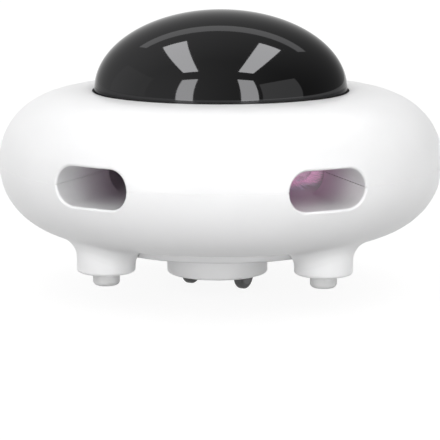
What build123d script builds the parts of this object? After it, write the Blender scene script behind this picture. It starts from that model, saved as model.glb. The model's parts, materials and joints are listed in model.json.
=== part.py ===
"""A round electric cat toy: a feather turns inside a hollow ring with six windows.

Units are millimetres. The origin is on the floor, under the centre of the body, with +Z up.
The front of the toy faces -Y. The body is a ring of two white shells that meet at the seam.
A dark dome closes the top, and a swivelling drive turret with two wheels stands under it.
"""

import os
from math import acos, cos, hypot, pi, radians, sin, sqrt, tan

from build123d import *

os.makedirs("parts", exist_ok=True)

# Body: two shells round one axis, meeting at the seam
body_radius = 94.0
upper_rise = 30.4
lower_drop = 29.6
crown_width = 4.7
belly_width = 8.45
upper_fullness_share = 0.594
lower_fullness_share = 0.576
shell_wall = 2.4
seam_groove = 0.12
rim_radius = 54.5
rim_dip = 0.6
rim_depth = 4.2
ledge_width = 9.0
base_opening_radius = 46.0

# Windows: six slots that run through to the feather chamber
window_count = 6
window_width = 33.0
window_height = 15.9
window_lip = 0.8
tunnel_inner_width = 43.0
tunnel_wall = 2.0
chamber_radius = 55.0
tunnel_seam_gap = 0.3
tunnel_seam_depth = 0.7

# Legs and feet
leg_count = 4
leg_centre_radius = 62.8
leg_radius = 12.0
leg_length = 10.5
leg_root_radius = 8.0
leg_edge_radius = 1.2
leg_first_angle = 45.0
foot_radius = 5.5
foot_height = 5.65
foot_edge_radius = 1.8
foot_stem_radius = 3.0
foot_head_radius = 4.2
foot_head_height = 1.6

# Dome
dome_radius = 53.6
dome_height = 33.2
dome_wall = 2.0
dome_fullness_share = 0.5523
gasket_height = 1.4
gasket_width = 3.6
dome_post_count = 4
dome_post_radius = 2.8
dome_post_circle = 47.4

# Base cover
cover_radius = 53.25
cover_height = 5.3
cover_floor = 2.4
cover_rim_wall = 3.0
cover_edge_radius = 0.8
cover_gap = 0.35
cover_screw_span_x = 80.0
cover_screw_span_y = 28.0
collar_wall = 2.4
collar_height = 3.0

# Turret: a cup that swivels in the base cover and carries the wheels
turret_radius = 21.6
turret_offset = -1.5
turret_show = 13.7
turret_floor_gap = 6.5
turret_wall = 1.8
turret_edge_radius = 1.0
turret_gap = 0.4
turret_flange_width = 3.8
turret_flange_height = 1.6
turret_cap_height = 1.6
turret_stud_radius = 3.0
turret_stud_height = 3.4
turret_boss_wall = 3.0
axle_heading = -23.6
slip = 0.3
running_clearance = 0.04

# Wheels
wheel_radius = 6.4
wheel_hub_radius = 4.4
wheel_width = 4.2
wheel_track = 25.2
wheel_boss_radius = 2.0
wheel_slot_gap = 0.7
tyre_edge_radius = 1.4
axle_radius = 1.0
axle_overhang = 0.8

# Drive frame and gears in the turret
frame_plate = 1.6
frame_inner_width = 14.4
frame_front = 14.5
frame_back = 11.5
frame_height = 28.6
frame_ear_radius = 2.3
drive_module = 0.5
drive_face = 2.0
drive_pin_radius = 0.8
drive_hub_radius = 1.2
drive_pinion_teeth = 10
axle_gear_teeth = 12
idler_teeth = 14
second_gear_teeth = 24
first_gear_teeth = 28
second_to_first_angle = 135.0
first_to_motor_angle = 60.0
drive_motor_length = 15.0
drive_motor_width = 12.0
drive_motor_height = 10.0
drive_motor_shaft_radius = 0.75
drive_motor_collar_radius = 1.8
drive_motor_collar_length = 0.7
drive_motor_edge = 1.5
drive_motor_shaft_seat = 4.0
drive_layer_gap = 0.7

# Gear tooth form
pressure_angle = 25.0
addendum_share = 0.8
dedendum_share = 1.05
backlash_share = 0.16

# Feather rotor
rotor_flange_radius = 27.0
rotor_waist_radius = 17.0
rotor_gap = 0.8
rotor_rim_height = 1.6
rotor_heading = -45.0
rotor_recess_radius = 7.0
shaft_radius = 2.0
bush_radius = 3.5
bush_boss_radius = 6.0
bush_height = 3.5
bush_flange_radius = 5.0
bush_flange_height = 0.8
socket_radius = 3.2
socket_reach = 27.5
stem_radius = 1.7
stem_bore_radius = 0.9
stem_start = 21.0
stem_end = 38.0
plume_length = 21.2
plume_gap = 1.8
plume_half_width = 15.0
plume_headroom = 0.5

# Feather gear train, above the chamber
train_module = 0.6
train_pinion_teeth = 10
train_gear_teeth = 30
rotor_gear_teeth = 40
train_face = 2.2
rotor_gear_face = 3.0
train_layer_gap = 0.4
train_pin_radius = 1.0
train_hub_radius = 1.8
train_pin_seat = 1.2
slow_gear_angle = -90.0
fast_gear_angle = 0.0
train_motor_angle = 60.0
gearbox_wall = 1.6
gearbox_left = 15.5
gearbox_right = 25.5
gearbox_front = 27.0
gearbox_back = 15.0
gearbox_corner = 5.0
gearbox_headroom = 0.7
gearbox_lug_radius = 3.4
gearbox_lug_height = 2.4
feather_motor_radius = 7.7
feather_motor_flat = 6.0
feather_motor_length = 20.0
feather_motor_shaft_radius = 1.0
feather_motor_collar_radius = 3.0
feather_motor_collar_length = 1.4
feather_motor_shaft_seat = 4.0
motor_end_radius = 4.2
motor_end_height = 1.0

# Battery
cell_radius = 7.1
cell_length = 50.0
cell_tip_radius = 2.6
cell_tip_length = 1.0
cell_centre_y = 26.6
tray_wall = 1.4
tray_play = 0.3
tray_side_height = 6.5
contact_thickness = 0.5
contact_width = 8.0
contact_height = 9.0

# Board, charging port, button and light, on the base cover
board_length = 36.0
board_width = 13.0
board_thickness = 1.6
board_centre_y = 35.0
board_lift = 4.0
board_post_radius = 2.2
board_post_span = 31.0
port_x = -9.0
port_width = 8.9
port_depth = 3.2
port_wall = 0.35
port_recess = 0.4
port_floor = 1.6
port_tongue_width = 6.6
port_tongue_depth = 0.7
port_gap = 0.25
button_x = 8.5
button_radius = 4.0
button_proud = 0.8
button_flange_radius = 4.8
button_flange_height = 0.8
button_travel = 0.5
button_gap = 0.2
button_dish = 0.3
switch_size = 6.0
switch_body_height = 1.6
switch_plunger_radius = 1.7
switch_plunger_height = 0.5
light_x = 0.0
light_radius = 1.5
light_head_radius = 1.9
light_head_height = 1.0
chip_length = 7.0
chip_width = 5.0
chip_height = 1.2

# Screws
shell_screw_radius = 1.4
shell_screw_length = 20.0
shell_post_radius = 4.0
shell_post_gap = 2.0
screw_head_radius = 2.7
screw_head_height = 1.8
screw_well_depth = 17.5
small_screw_radius = 1.0
small_screw_length = 7.0
small_head_radius = 1.9
small_head_height = 1.3
post_radius = 3.4
cross_width = 0.6
cross_depth = 0.7
overrun = 1.0

# Heights above the floor
turret_bottom = turret_floor_gap
cover_bottom = turret_bottom + turret_show
cover_top = cover_bottom + cover_floor
shell_bottom = cover_bottom + cover_height
seam = shell_bottom + lower_drop
crown = seam + upper_rise
window_half = window_height / 2
chamber_floor = seam - window_half
chamber_ceiling = seam + window_half
pan_bottom = chamber_floor - tunnel_wall
deck = chamber_ceiling + tunnel_wall
rim_top = crown - rim_dip
ledge_top = rim_top - rim_depth
leg_bottom = shell_bottom - leg_length
ledge_radius = rim_radius - ledge_width
tunnel_start = sqrt(chamber_radius**2 - (tunnel_inner_width / 2) ** 2) - overrun
upper_crown_radius = rim_radius + crown_width
lower_crown_radius = cover_radius + belly_width

# Directions round the body, in degrees from +X
window_angles = [360 * index / window_count for index in range(window_count)]
leg_angles = [leg_first_angle + 360 * index / leg_count for index in range(leg_count)]
post_angles = [angle + 180 / window_count for angle in window_angles]


def save(part, name):
    """Name a finished piece and write it to its own file."""
    part.label = name
    export_step(part, f"parts/{name}.step")


def on_circle(radius, angle):
    """Give the point at an angle in degrees on a circle round the body's axis."""
    return (radius * cos(radians(angle)), radius * sin(radians(angle)))


def tube(radius, bottom, top, mode=Mode.ADD):
    """Extrude a round bar between two heights, at each active location."""
    with BuildSketch(Plane.XY.offset(bottom)) as outline:
        Circle(radius)
    extrude(outline.sketch, amount=top - bottom, mode=mode)


def round_bars(points, radius, bottom, top, mode=Mode.ADD):
    """Extrude one round bar between two heights at each of the points."""
    with BuildSketch(Plane.XY.offset(bottom)) as outline:
        with Locations(*points):
            Circle(radius)
    extrude(outline.sketch, amount=top - bottom, mode=mode)


def tunnel_width(radius):
    """Give the width of a window's tunnel at a distance from the axis."""
    share = (body_radius - radius) / (body_radius - chamber_radius)
    return window_width + (tunnel_inner_width - window_width) * share


def tunnel_plane(angle, radius):
    """Give the plane across a tunnel, at a distance from the axis, centred on the seam."""
    x, y = on_circle(radius, angle)
    along = (cos(radians(angle)), sin(radians(angle)), 0)
    across = (-sin(radians(angle)), cos(radians(angle)), 0)
    return Plane(origin=(x, y, seam), x_dir=across, z_dir=along)


def tunnels(extra, inner_radius, outer_radius, mode=Mode.ADD):
    """Loft the six slot-shaped tunnels, larger all round by extra."""
    for angle in window_angles:
        ends = []
        for radius in (inner_radius, outer_radius):
            with BuildSketch(tunnel_plane(angle, radius)) as slot:
                SlotOverall(tunnel_width(radius) + 2 * extra, window_height + 2 * extra)
            ends.append(slot.sketch)
        loft(ends, ruled=True, mode=mode)


def tunnel_seam_cuts():
    """Cut the fine dark line that the seam draws along the side walls of each tunnel."""
    for angle in window_angles:
        ends = []
        for radius in (tunnel_start + tunnel_wall, body_radius + overrun):
            with BuildSketch(tunnel_plane(angle, radius)) as strip:
                Rectangle(tunnel_width(radius) + 2 * tunnel_seam_depth, tunnel_seam_gap)
            ends.append(strip.sketch)
        loft(ends, ruled=True, mode=Mode.SUBTRACT)


def lower_body(inset, mode=Mode.ADD):
    """Revolve the solid lower half of the body, smaller all round by inset."""
    outer = body_radius - inset
    bottom = shell_bottom + inset
    reach = outer - lower_crown_radius
    with BuildSketch(Plane.XZ) as profile:
        with BuildLine():
            Line((0, seam), (outer - seam_groove, seam))
            Line((outer - seam_groove, seam), (outer, seam - seam_groove))
            Bezier(
                (outer, seam - seam_groove),
                (outer, seam - lower_fullness_share * (seam - bottom)),
                (lower_crown_radius + lower_fullness_share * reach, bottom),
                (lower_crown_radius, bottom),
            )
            Line((lower_crown_radius, bottom), (0, bottom))
            Line((0, bottom), (0, seam))
        make_face()
    revolve(profile.sketch, axis=Axis.Z, mode=mode)


def upper_body(inset, mode=Mode.ADD):
    """Revolve the solid upper half of the body, smaller all round by inset."""
    outer = body_radius - inset
    top = crown - inset
    reach = outer - upper_crown_radius
    with BuildSketch(Plane.XZ) as profile:
        with BuildLine():
            Line((0, seam), (outer - seam_groove, seam))
            Line((outer - seam_groove, seam), (outer, seam + seam_groove))
            Bezier(
                (outer, seam + seam_groove),
                (outer, seam + upper_fullness_share * (top - seam)),
                (upper_crown_radius + upper_fullness_share * reach, top),
                (upper_crown_radius, top),
            )
            dip = TangentArc(
                (upper_crown_radius, top), (rim_radius + inset, top - rim_dip), tangent=(-1, 0)
            )
            Line(dip @ 1, (0, top - rim_dip))
            Line((0, top - rim_dip), (0, seam))
        make_face()
    revolve(profile.sketch, axis=Axis.Z, mode=mode)


def screws(points, seat, radius, length, head_radius, head_height, upwards=True):
    """Make one cross-head screw at each point, its head under or over the seat height."""
    way = 1 if upwards else -1
    head_far = seat - way * head_height
    low, high = sorted((seat, head_far))
    round_bars(points, head_radius, low, high)
    low, high = sorted((seat, seat + way * length))
    round_bars(points, radius, low, high)
    low, high = sorted((head_far, head_far + way * cross_depth))
    with BuildSketch(Plane.XY.offset(low)) as cross:
        with Locations(*points):
            Rectangle(head_radius, cross_width)
            Rectangle(cross_width, head_radius)
    extrude(cross.sketch, amount=high - low, mode=Mode.SUBTRACT)


def tooth(teeth, module):
    """Draw one tooth on the +X axis, with round flanks close to an involute's."""
    pitch_radius = teeth * module / 2
    base = pitch_radius * cos(radians(pressure_angle))
    tip = pitch_radius + addendum_share * module
    root = pitch_radius - dedendum_share * module
    foot = max(base, root)
    middle = (foot + tip) / 2
    half_pitch = (pi / 2 - backlash_share) * module / (2 * pitch_radius)

    def flank(radius):
        angle = acos(min(1, base / radius))
        swing = tan(radians(pressure_angle)) - radians(pressure_angle)
        half = half_pitch + swing - (tan(angle) - angle)
        return (radius * cos(half), radius * sin(half))

    def mirrored(point):
        return (point[0], -point[1])

    inner = (0, flank(foot)[1])
    with BuildSketch(mode=Mode.PRIVATE) as outline:
        with BuildLine():
            Line(mirrored(inner), mirrored(flank(foot)))
            ThreePointArc(mirrored(flank(foot)), mirrored(flank(middle)), mirrored(flank(tip)))
            Line(mirrored(flank(tip)), flank(tip))
            ThreePointArc(flank(tip), flank(middle), flank(foot))
            Line(flank(foot), inner)
            Line(inner, mirrored(inner))
        make_face()
    return outline.sketch


def gear(plane, teeth, module, width, phase=0.0):
    """Extrude a spur gear from a plane, one of its teeth at the phase angle in degrees."""
    root = (teeth / 2 - dedendum_share) * module
    shape = tooth(teeth, module)
    with BuildSketch(plane) as outline:
        Circle(root)
        with PolarLocations(0, teeth, start_angle=phase):
            add(shape)
    extrude(outline.sketch, amount=width)


def meshed_phase(teeth, phase, other_teeth, direction):
    """Give the phase that puts another gear in mesh, lying in a direction from the first."""
    progress = (direction - phase) * teeth / 360
    return direction + 180 - (0.5 - progress) * 360 / other_teeth


def centre_distance(teeth, other_teeth, module):
    """Give the distance between the axes of two gears in mesh."""
    return (teeth + other_teeth) * module / 2


def stepped(point, distance, direction):
    """Give the point at a distance from another, in a direction in degrees."""
    return (
        point[0] + distance * cos(radians(direction)),
        point[1] + distance * sin(radians(direction)),
    )


# Places that several pieces share
leg_points = [on_circle(leg_centre_radius, angle) for angle in leg_angles]
shell_screw_circle = chamber_radius + tunnel_wall + shell_post_gap + shell_post_radius
shell_post_points = [on_circle(shell_screw_circle, angle) for angle in post_angles]
cover_points = [
    (side_x * cover_screw_span_x / 2, side_y * cover_screw_span_y / 2)
    for side_x in (-1, 1)
    for side_y in (-1, 1)
]
turret_point = (turret_offset, 0)
turret_opening = turret_radius + turret_gap
turret_boss_radius = turret_stud_radius + turret_boss_wall
flange_bottom = cover_top + collar_height + slip
flange_top = flange_bottom + turret_flange_height
boss_bottom = pan_bottom - turret_stud_height - slip
cap_top = boss_bottom - slip
cap_bottom = cap_top - turret_cap_height
bush_seat = chamber_floor
shell_screw_seat = shell_bottom + screw_well_depth
gasket_top = ledge_top + gasket_height
upper_bush_top = chamber_ceiling + bush_height + bush_flange_height
dome_points = [
    on_circle(dome_post_circle, leg_first_angle + 360 * index / dome_post_count)
    for index in range(dome_post_count)
]
dome_screw_seat = ledge_top - shell_wall

rotor_gear_bottom = upper_bush_top + slip
slow_gear_bottom = rotor_gear_bottom + rotor_gear_face + train_layer_gap
fast_gear_bottom = slow_gear_bottom + train_face + train_layer_gap
train_top = fast_gear_bottom + train_face
gearbox_top = train_top + gearbox_headroom + gearbox_wall

slow_point = stepped(
    (0, 0), centre_distance(rotor_gear_teeth, train_pinion_teeth, train_module), slow_gear_angle
)
fast_point = stepped(
    slow_point,
    centre_distance(train_gear_teeth, train_pinion_teeth, train_module),
    fast_gear_angle,
)
feather_motor_point = stepped(
    fast_point,
    centre_distance(train_gear_teeth, train_pinion_teeth, train_module),
    train_motor_angle,
)
slow_phase = meshed_phase(rotor_gear_teeth, 0, train_pinion_teeth, slow_gear_angle)
fast_phase = meshed_phase(train_gear_teeth, slow_phase, train_pinion_teeth, fast_gear_angle)
train_pinion_phase = meshed_phase(
    train_gear_teeth, fast_phase, train_pinion_teeth, train_motor_angle
)

gearbox_centre = ((gearbox_right - gearbox_left) / 2, (gearbox_back - gearbox_front) / 2)
gearbox_size = (gearbox_left + gearbox_right, gearbox_front + gearbox_back)
lug_points = [
    (gearbox_centre[0] - gearbox_size[0] / 2 - small_head_radius - slip, gearbox_centre[1]),
    (gearbox_centre[0] + gearbox_size[0] / 2 + small_head_radius + slip, gearbox_centre[1]),
]


def leg_roots(part):
    """Find the edges where the legs leave the skin."""
    return [
        edge
        for edge in part.edges()
        if edge.geom_type != GeomType.LINE
        and edge.center().Z > leg_bottom + leg_length / 2
        and min(hypot(edge.center().X - x, edge.center().Y - y) for x, y in leg_points)
        < leg_radius + overrun
    ]


def window_edges(part):
    """Find the edges of the window mouths, on the outside of the skin."""
    return [
        edge
        for edge in part.edges()
        if hypot((edge @ 0.5).X, (edge @ 0.5).Y) > body_radius - shell_wall
        and window_half / 4 < abs((edge @ 0.5).Z - seam) < window_half + overrun
    ]


# Lower shell: the skin, four legs, the chamber's floor and the lower halves of the tunnels
with BuildPart() as lower_core:
    lower_body(shell_wall / 2)

with BuildPart() as lower_tunnel_walls:
    tunnels(tunnel_wall, tunnel_start, body_radius + overrun)
    add(lower_core.part, mode=Mode.INTERSECT)

with BuildPart() as lower_posts:
    round_bars(shell_post_points, shell_post_radius, leg_bottom, seam)
    add(lower_core.part, mode=Mode.INTERSECT)

with BuildPart() as lower_shell:
    lower_body(0)
    round_bars(leg_points, leg_radius, leg_bottom, shell_bottom + leg_length)
    fillet(leg_roots(lower_shell), radius=leg_root_radius)
    fillet(lower_shell.faces().sort_by(Axis.Z)[:leg_count].edges(), radius=leg_edge_radius)
    lower_body(shell_wall, mode=Mode.SUBTRACT)
    round_bars(
        leg_points,
        leg_radius - shell_wall,
        leg_bottom + shell_wall,
        shell_bottom + leg_length,
        mode=Mode.SUBTRACT,
    )
    tube(base_opening_radius, cover_bottom, shell_bottom + 2 * shell_wall, mode=Mode.SUBTRACT)
    round_bars([(0, 0)], chamber_radius + tunnel_wall, pan_bottom, seam)
    add(lower_tunnel_walls.part)
    round_bars([turret_point], turret_boss_radius, boss_bottom, chamber_floor)
    round_bars(cover_points, post_radius, cover_top, pan_bottom + tunnel_wall / 2)
    add(lower_posts.part)
    tube(chamber_radius, chamber_floor, seam + overrun, mode=Mode.SUBTRACT)
    tube(bush_boss_radius, chamber_floor - tunnel_wall / 2, bush_seat + bush_height)
    tube(bush_radius, bush_seat, seam, mode=Mode.SUBTRACT)
    tunnels(0, tunnel_start, body_radius + overrun, mode=Mode.SUBTRACT)
    tunnel_seam_cuts()
    round_bars(
        [turret_point],
        turret_stud_radius + running_clearance,
        boss_bottom - overrun,
        boss_bottom + turret_stud_height + slip,
        mode=Mode.SUBTRACT,
    )
    round_bars(
        cover_points,
        small_screw_radius,
        cover_top - overrun,
        cover_top + small_screw_length,
        mode=Mode.SUBTRACT,
    )
    round_bars(
        shell_post_points,
        screw_head_radius + slip,
        leg_bottom,
        shell_screw_seat,
        mode=Mode.SUBTRACT,
    )
    round_bars(
        shell_post_points, shell_screw_radius, leg_bottom, seam + overrun, mode=Mode.SUBTRACT
    )
    round_bars(
        leg_points,
        foot_stem_radius,
        leg_bottom - overrun,
        leg_bottom + shell_wall + overrun,
        mode=Mode.SUBTRACT,
    )
    fillet(window_edges(lower_shell), radius=window_lip)
save(lower_shell.part, "lower_shell")

# Upper shell: the crown, the dome's ledge, the chamber's ceiling and the upper tunnel halves
with BuildPart() as upper_core:
    upper_body(shell_wall / 2)

with BuildPart() as upper_tunnel_walls:
    tunnels(tunnel_wall, tunnel_start, body_radius + overrun)
    add(upper_core.part, mode=Mode.INTERSECT)

with BuildPart() as upper_posts:
    round_bars(shell_post_points, shell_post_radius, seam, crown)
    add(upper_core.part, mode=Mode.INTERSECT)

with BuildPart() as upper_shell:
    upper_body(0)
    upper_body(shell_wall, mode=Mode.SUBTRACT)
    tube(rim_radius + shell_wall, ledge_top - shell_wall, rim_top - shell_wall / 2)
    tube(rim_radius, ledge_top, crown + overrun, mode=Mode.SUBTRACT)
    tube(ledge_radius, seam, crown + overrun, mode=Mode.SUBTRACT)
    tube(chamber_radius + tunnel_wall, seam, deck)
    add(upper_tunnel_walls.part)
    tube(bush_boss_radius, chamber_ceiling, chamber_ceiling + bush_height)
    add(upper_posts.part)
    tube(chamber_radius, seam - overrun, chamber_ceiling, mode=Mode.SUBTRACT)
    tube(bush_radius, seam, crown, mode=Mode.SUBTRACT)
    round_bars(
        [slow_point, fast_point], train_pin_radius, deck - train_pin_seat, deck + overrun,
        mode=Mode.SUBTRACT,
    )
    round_bars(
        lug_points, small_screw_radius, deck - train_pin_seat, deck + overrun,
        mode=Mode.SUBTRACT,
    )
    round_bars(
        dome_points, small_screw_radius, dome_screw_seat - overrun, ledge_top + overrun,
        mode=Mode.SUBTRACT,
    )
    tunnels(0, tunnel_start, body_radius + overrun, mode=Mode.SUBTRACT)
    tunnel_seam_cuts()
    round_bars(
        shell_post_points,
        shell_screw_radius,
        seam - overrun,
        shell_screw_seat + shell_screw_length,
        mode=Mode.SUBTRACT,
    )
    fillet(window_edges(upper_shell), radius=window_lip)
save(upper_shell.part, "upper_shell")


def dome_body(inset, bottom, mode=Mode.ADD):
    """Revolve the solid dome above a height, smaller all round by inset."""
    outer = dome_radius - inset
    rise = dome_height - inset
    with BuildSketch(Plane.XZ) as profile:
        with BuildLine():
            Line((0, bottom), (outer, bottom))
            Line((outer, bottom), (outer, crown))
            Bezier(
                (outer, crown),
                (outer, crown + dome_fullness_share * rise),
                (dome_fullness_share * outer, crown + rise),
                (0, crown + rise),
            )
            Line((0, crown + rise), (0, bottom))
        make_face()
    revolve(profile.sketch, axis=Axis.Z, mode=mode)


# Dome: a dark half-ellipsoid on a skirt, with four screw posts inside
with BuildPart() as dome_posts:
    round_bars(dome_points, dome_post_radius, ledge_top, crown + dome_height)
    dome_body(dome_wall / 2, ledge_top - overrun, mode=Mode.INTERSECT)

with BuildPart() as dome:
    dome_body(0, gasket_top)
    dome_body(dome_wall, gasket_top - overrun, mode=Mode.SUBTRACT)
    add(dome_posts.part)
    round_bars(
        dome_points,
        small_screw_radius,
        ledge_top - overrun,
        dome_screw_seat + small_screw_length,
        mode=Mode.SUBTRACT,
    )
save(dome.part, "dome")

with BuildPart() as dome_gasket:
    tube(rim_radius, ledge_top, gasket_top)
    tube(rim_radius - gasket_width, ledge_top, gasket_top, mode=Mode.SUBTRACT)
save(dome_gasket.part, "dome_gasket")

with BuildPart() as dome_screws:
    screws(dome_points, dome_screw_seat, small_screw_radius, small_screw_length,
           small_head_radius, small_head_height)
save(dome_screws.part, "dome_screws")

with BuildPart() as shell_screws:
    screws(shell_post_points, shell_screw_seat, shell_screw_radius, shell_screw_length,
           screw_head_radius, screw_head_height)
save(shell_screws.part, "shell_screws")

# Feet: soft plugs pushed through the leg floors
foot_names = ["rear_right_foot", "rear_left_foot", "front_left_foot", "front_right_foot"]
for foot_name, foot_point in zip(foot_names, leg_points):
    with BuildPart() as foot:
        round_bars([foot_point], foot_radius, leg_bottom - foot_height, leg_bottom)
        fillet(foot.edges().sort_by(Axis.Z)[0], radius=foot_edge_radius)
        round_bars([foot_point], foot_stem_radius, leg_bottom, leg_bottom + shell_wall)
        head_bottom = leg_bottom + shell_wall
        round_bars([foot_point], foot_head_radius, head_bottom, head_bottom + foot_head_height)
        chamfer(foot.edges().sort_by(Axis.Z)[-1], length=foot_head_height / 2)
    save(foot.part, foot_name)

# Base cover: a shallow pan with a bearing collar round the turret's opening
board_top = cover_top + board_lift + board_thickness
port_bottom = cover_bottom + port_recess
button_bottom = cover_bottom - button_proud
board_post_points = [
    (side * board_post_span / 2, board_centre_y - board_width / 4) for side in (-1, 1)
]


def root_plane(point):
    """Give the upright plane through a leg's axis."""
    return Plane(origin=(point[0], point[1], 0), x_dir=(1, 0, 0), z_dir=(0, -1, 0))


with BuildPart() as leg_notches:
    round_bars(leg_points, leg_radius + cover_gap, cover_bottom - overrun, shell_bottom)
    for point in leg_points:
        start = shell_bottom - leg_root_radius
        foot_of_root = leg_radius + cover_gap
        with BuildSketch(root_plane(point)) as flare:
            with BuildLine():
                Line((0, start), (foot_of_root, start))
                RadiusArc(
                    (foot_of_root, start),
                    (foot_of_root + leg_root_radius, shell_bottom),
                    leg_root_radius,
                )
                Line((foot_of_root + leg_root_radius, shell_bottom), (0, shell_bottom))
                Line((0, shell_bottom), (0, start))
            make_face()
        revolve(flare.sketch, axis=Axis((point[0], point[1], 0), (0, 0, 1)))

with BuildPart() as base_cover:
    tube(cover_radius, cover_bottom, shell_bottom)
    fillet(base_cover.edges().sort_by(Axis.Z)[0], radius=cover_edge_radius)
    tube(cover_radius - cover_rim_wall, cover_top, shell_bottom, mode=Mode.SUBTRACT)
    round_bars([turret_point], turret_opening + collar_wall, cover_bottom, cover_top + collar_height)
    round_bars(
        board_post_points, board_post_radius, cover_top - overrun, cover_top + board_lift
    )
    round_bars(
        [turret_point], turret_opening, cover_bottom - overrun, shell_bottom + overrun,
        mode=Mode.SUBTRACT,
    )
    add(leg_notches.part, mode=Mode.SUBTRACT)
    round_bars(
        cover_points, small_screw_radius, cover_bottom - overrun, cover_top + overrun,
        mode=Mode.SUBTRACT,
    )
    round_bars(
        cover_points, small_head_radius + slip / 2, cover_bottom - overrun,
        cover_bottom + small_head_height, mode=Mode.SUBTRACT,
    )
    with BuildSketch(Plane.XY.offset(cover_bottom - overrun)) as openings:
        with Locations((port_x, board_centre_y)):
            SlotOverall(port_width + 2 * port_gap, port_depth + 2 * port_gap)
        with Locations((button_x, board_centre_y)):
            Circle(button_radius + button_gap)
        with Locations((light_x, board_centre_y)):
            Circle(light_radius)
    extrude(openings.sketch, amount=cover_floor + 2 * overrun, mode=Mode.SUBTRACT)
    round_bars(
        board_post_points, small_screw_radius / 2, cover_top, cover_top + board_lift,
        mode=Mode.SUBTRACT,
    )
save(base_cover.part, "base_cover")

with BuildPart() as cover_screws:
    screws(cover_points, cover_bottom + small_head_height, small_screw_radius,
           small_screw_length, small_head_radius, small_head_height)
save(cover_screws.part, "cover_screws")

# Board with its port, switch and light
board_bottom = cover_top + board_lift

with BuildPart() as circuit_board:
    with BuildSketch(Plane.XY.offset(board_bottom)) as outline:
        with Locations((0, board_centre_y)):
            RectangleRounded(board_length, board_width, board_thickness)
    extrude(outline.sketch, amount=board_thickness)
    for chip_x in (-board_length / 4, board_length / 4):
        with BuildSketch(Plane.XY.offset(board_top)) as chip:
            with Locations((chip_x, board_centre_y)):
                Rectangle(chip_length, chip_width)
        extrude(chip.sketch, amount=chip_height)
    round_bars(
        board_post_points, small_screw_radius / 2, board_bottom - overrun, board_top + overrun,
        mode=Mode.SUBTRACT,
    )
save(circuit_board.part, "circuit_board")

with BuildPart() as board_screws:
    screws(board_post_points, board_top, small_screw_radius / 2, board_lift,
           small_screw_radius, small_head_height / 2, upwards=False)
save(board_screws.part, "board_screws")

with BuildPart() as charging_port:
    with BuildSketch(Plane.XY.offset(port_bottom)) as can:
        with Locations((port_x, board_centre_y)):
            SlotOverall(port_width, port_depth)
    extrude(can.sketch, amount=board_bottom - port_bottom)
    with BuildSketch(Plane.XY.offset(port_bottom)) as mouth:
        with Locations((port_x, board_centre_y)):
            SlotOverall(port_width - 2 * port_wall, port_depth - 2 * port_wall)
            Rectangle(port_tongue_width, port_tongue_depth, mode=Mode.SUBTRACT)
    extrude(mouth.sketch, amount=board_bottom - port_bottom - port_floor, mode=Mode.SUBTRACT)
save(charging_port.part, "charging_port")

plunger_bottom = board_bottom - switch_body_height - switch_plunger_height

with BuildPart() as power_switch:
    with BuildSketch(Plane.XY.offset(board_bottom - switch_body_height)) as switch_body:
        with Locations((button_x, board_centre_y)):
            Rectangle(switch_size, switch_size)
    extrude(switch_body.sketch, amount=switch_body_height)
    round_bars(
        [(button_x, board_centre_y)], switch_plunger_radius, plunger_bottom,
        board_bottom - switch_body_height,
    )
save(power_switch.part, "power_switch")

button_top = plunger_bottom - button_travel - running_clearance

with BuildPart() as power_button:
    round_bars([(button_x, board_centre_y)], button_radius, button_bottom, button_top)
    fillet(power_button.edges().sort_by(Axis.Z)[0], radius=button_dish)
    round_bars(
        [(button_x, board_centre_y)], button_flange_radius,
        cover_top + running_clearance, cover_top + running_clearance + button_flange_height,
    )
save(power_button.part, "power_button")

with BuildPart() as indicator_light:
    round_bars([(light_x, board_centre_y)], light_radius, cover_bottom, board_bottom)
    fillet(indicator_light.edges().sort_by(Axis.Z)[0], radius=light_radius / 2)
    round_bars(
        [(light_x, board_centre_y)], light_head_radius, cover_top, cover_top + light_head_height
    )
save(indicator_light.part, "indicator_light")

# Feather rotor: a spool on a steel shaft, with a socket that holds the feather's stem
rotor_bottom = chamber_floor + rotor_gap
rotor_top = chamber_ceiling - rotor_gap
shaft_top = chamber_ceiling + bush_height + bush_flange_height + slip + rotor_gear_face + slip
feather_direction = (cos(radians(rotor_heading)), sin(radians(rotor_heading)), 0)
feather_side = (-sin(radians(rotor_heading)), cos(radians(rotor_heading)), 0)


def feather_plane(radius):
    """Give the plane across the feather's stem at a distance from the axis."""
    x, y = on_circle(radius, rotor_heading)
    return Plane(origin=(x, y, seam), x_dir=feather_side, z_dir=feather_direction)


with BuildPart() as rotor_hub:
    with BuildSketch(Plane.XZ) as spool:
        with BuildLine():
            Line((0, rotor_bottom), (rotor_flange_radius, rotor_bottom))
            Line(
                (rotor_flange_radius, rotor_bottom),
                (rotor_flange_radius, rotor_bottom + rotor_rim_height),
            )
            ThreePointArc(
                (rotor_flange_radius, rotor_bottom + rotor_rim_height),
                (rotor_waist_radius, seam),
                (rotor_flange_radius, rotor_top - rotor_rim_height),
            )
            Line(
                (rotor_flange_radius, rotor_top - rotor_rim_height),
                (rotor_flange_radius, rotor_top),
            )
            Line((rotor_flange_radius, rotor_top), (0, rotor_top))
            Line((0, rotor_top), (0, rotor_bottom))
        make_face()
    revolve(spool.sketch, axis=Axis.Z)
    with BuildSketch(feather_plane(rotor_waist_radius - overrun)) as socket:
        Circle(socket_radius)
    extrude(socket.sketch, amount=socket_reach - rotor_waist_radius + overrun)
    tube(rotor_recess_radius, rotor_bottom, bush_seat + bush_height + slip, mode=Mode.SUBTRACT)
    tube(shaft_radius, rotor_bottom, rotor_top, mode=Mode.SUBTRACT)
    with BuildSketch(feather_plane(stem_start)) as socket_bore:
        Circle(stem_radius)
    extrude(socket_bore.sketch, amount=body_radius, mode=Mode.SUBTRACT)
save(rotor_hub.part, "rotor_hub")

with BuildPart() as rotor_shaft:
    tube(shaft_radius, bush_seat + slip, shaft_top)
    chamfer(rotor_shaft.edges().sort_by(Axis.Z)[0], length=slip)
save(rotor_shaft.part, "rotor_shaft")

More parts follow.
